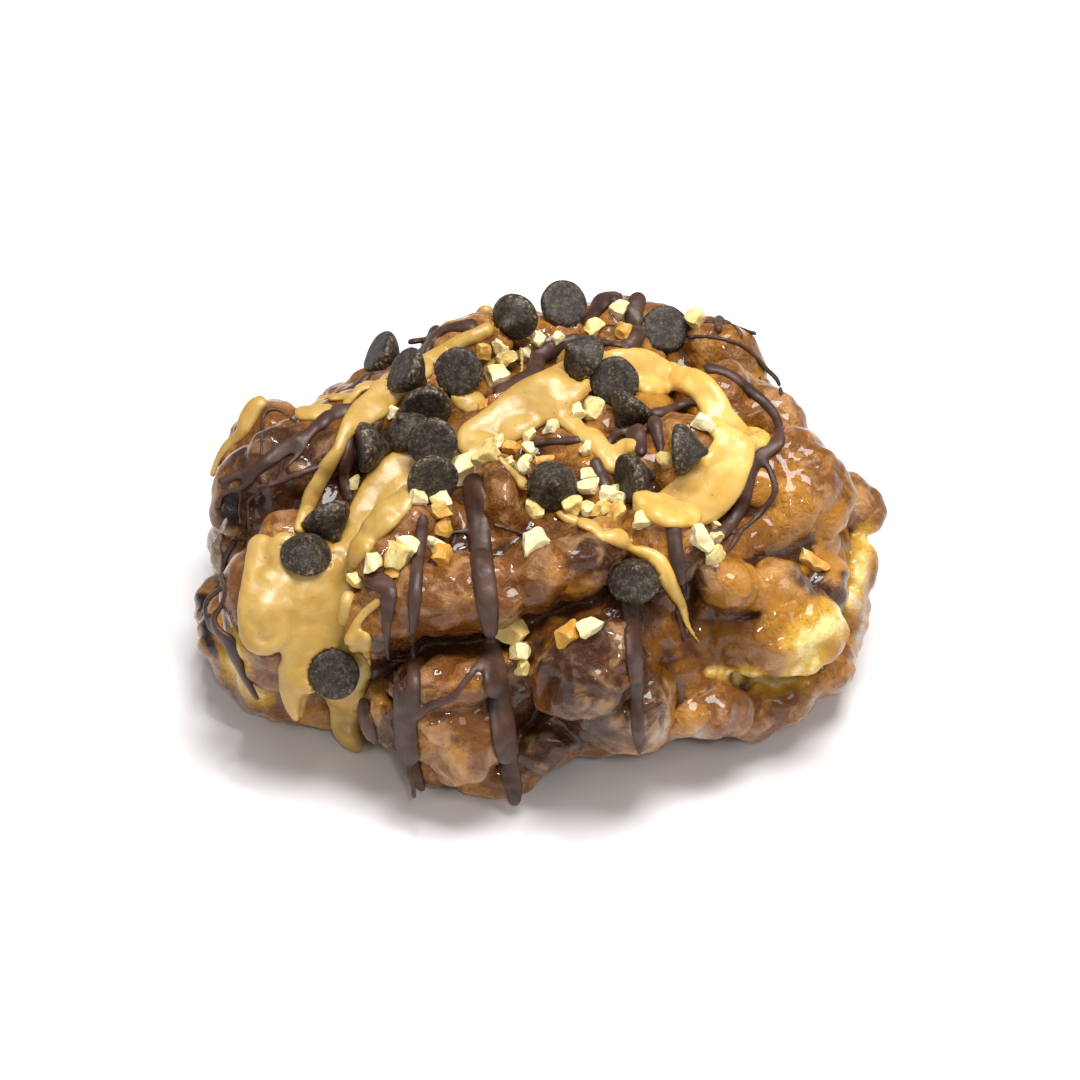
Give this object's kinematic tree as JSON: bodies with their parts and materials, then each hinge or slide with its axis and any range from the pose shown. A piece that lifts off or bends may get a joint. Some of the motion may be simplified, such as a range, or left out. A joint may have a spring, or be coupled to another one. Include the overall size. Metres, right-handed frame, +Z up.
{
  "type": "fried dough fritter",
  "caption": "Lumpy glazed fried dough fritter with peanut sauce, chocolate drizzle, chopped nuts and chocolate drops pressed in on top.",
  "frame": {"origin": "on the flat spot underneath that the fritter rests on, below the middle of the dough", "axes": "+Z up, the shortest side; +X along the fritter's longest side, to the right in the picture; +Y to the back"},
  "size_m": [0.1388, 0.1191, 0.065],
  "materials": {
    "dough": "glazed, browned crust under pale sauce and dark drizzle",
    "chocolate": "dark, with a dull bloom"
  },
  "bodies": {
    "root": {"dough": "dough", "chip_01": "chocolate", "chip_02": "chocolate", "chip_03": "chocolate", "chip_04": "chocolate", "chip_05": "chocolate", "chip_06": "chocolate", "chip_07": "chocolate", "chip_08": "chocolate", "chip_09": "chocolate", "chip_10": "chocolate", "chip_11": "chocolate", "chip_12": "chocolate", "chip_13": "chocolate", "chip_14": "chocolate", "chip_15": "chocolate", "chip_16": "chocolate", "chip_17": "chocolate", "chip_18": "chocolate", "chip_19": "chocolate", "chip_20": "chocolate", "chip_21": "chocolate"}
  },
  "joints": []
}
